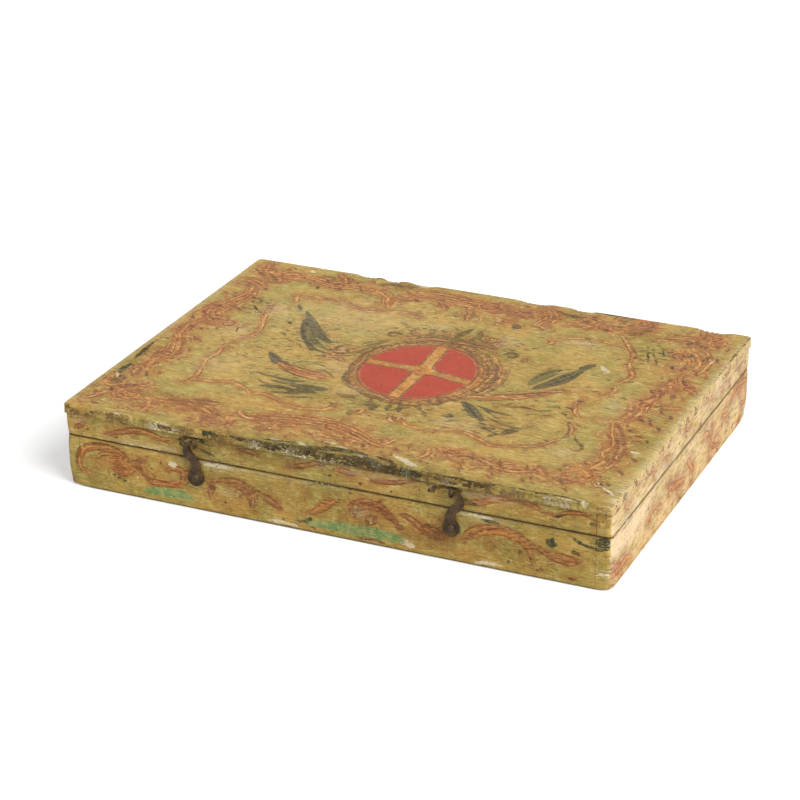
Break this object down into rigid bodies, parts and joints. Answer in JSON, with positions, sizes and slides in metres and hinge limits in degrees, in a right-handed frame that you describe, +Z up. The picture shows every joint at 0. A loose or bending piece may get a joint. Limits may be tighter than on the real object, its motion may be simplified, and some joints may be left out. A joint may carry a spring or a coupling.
{
  "type": "lacquered wooden box",
  "caption": "Shallow rectangular wooden box with a hinged lid, painted in olive lacquer with orange scrollwork, and dark metal hooks on its front.",
  "frame": {"origin": "centre of the underside, on the surface that the box stands on", "axes": "+X along the box's length to the right seen from the front, +Y from the hooks towards the hinges, +Z up"},
  "size_m": [0.35, 0.2673, 0.054],
  "materials": {
    "lacquer_top": "aged satin lacquer over gesso, crackled",
    "lacquer_sides": "aged satin lacquer over gesso, worn",
    "bare_wood": "matte old softwood",
    "fittings": "dark hand-forged iron, brown patina",
    "nails": "dark iron, dull"
  },
  "bodies": {
    "base": {"bottom_board": "bare_wood", "base_front_wall": "lacquer_sides", "base_back_wall": "lacquer_sides", "base_left_wall": "lacquer_sides", "base_right_wall": "lacquer_sides", "base_corner_nails": "nails", "bottom_board_nails": "nails", "hinge_base_leaf_nails": "nails", "left_hinge_base_leaf": "fittings", "left_hinge_pin": "fittings", "right_hinge_base_leaf": "fittings", "right_hinge_pin": "fittings", "left_hook_washer": "fittings", "left_hook_nail": "nails", "right_hook_washer": "fittings", "right_hook_nail": "nails"},
    "lid": {"lid_top_board": "lacquer_top", "lid_front_rail": "lacquer_sides", "lid_back_rail": "lacquer_sides", "lid_left_rail": "lacquer_sides", "lid_right_rail": "lacquer_sides", "lid_corner_nails": "nails", "lid_board_nails": "nails", "hinge_lid_leaf_nails": "nails", "left_hinge_lid_leaf": "fittings", "right_hinge_lid_leaf": "fittings", "left_staple": "fittings", "right_staple": "fittings"},
    "left_hook": {"left_hook": "fittings"},
    "right_hook": {"right_hook": "fittings"}
  },
  "joints": [
    {"name": "lid_hinge", "type": "hinge", "parent": "base", "child": "lid", "pos_m": [0, 0.13165, 0.03355], "axis": [-1, 0, 0], "range_deg": [0, 180]},
    {"name": "left_hook_pivot", "type": "hinge", "parent": "base", "child": "left_hook", "pos_m": [-0.0852, -0.1308, 0.0218], "axis": [0, -1, 0], "range_deg": [-7.6, 140]},
    {"name": "right_hook_pivot", "type": "hinge", "parent": "base", "child": "right_hook", "pos_m": [0.0784, -0.1308, 0.0218], "axis": [0, 1, 0], "range_deg": [-7.6, 140]}
  ]
}
